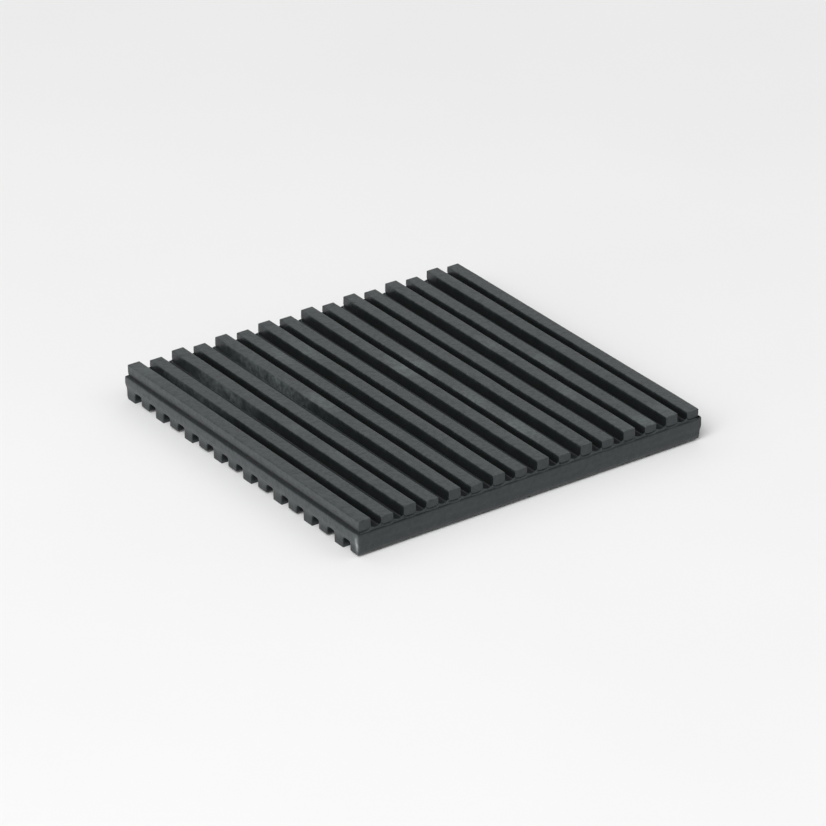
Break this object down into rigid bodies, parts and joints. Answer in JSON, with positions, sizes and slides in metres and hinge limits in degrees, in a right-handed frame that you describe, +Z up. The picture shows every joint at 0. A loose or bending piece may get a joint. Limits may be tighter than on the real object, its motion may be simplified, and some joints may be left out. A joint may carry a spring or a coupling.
{
  "type": "cross-ribbed rubber pad",
  "caption": "Square rubber anti-vibration pad with high and low ribs in turn on both faces, the lower ribs at right angles to the upper ones.",
  "frame": {"origin": "on the ground under the middle of the pad", "axes": "+Z up, from the deep lower ribs to the high upper ribs; the upper ribs run along Y with a high one at -X, and the lower ribs run along X with a deep one at +Y"},
  "size_m": [0.1016, 0.1016, 0.0095],
  "materials": {
    "upper_rubber": "matt moulded black rubber, slightly dusty",
    "bond_film": "cured black rubber cement",
    "lower_rubber": "matt moulded black rubber with a thin flash rim and a scuffed corner"
  },
  "bodies": {
    "root": {"upper_ribbed_sheet": "upper_rubber", "bond_film": "bond_film", "lower_ribbed_slab": "lower_rubber"}
  },
  "joints": []
}
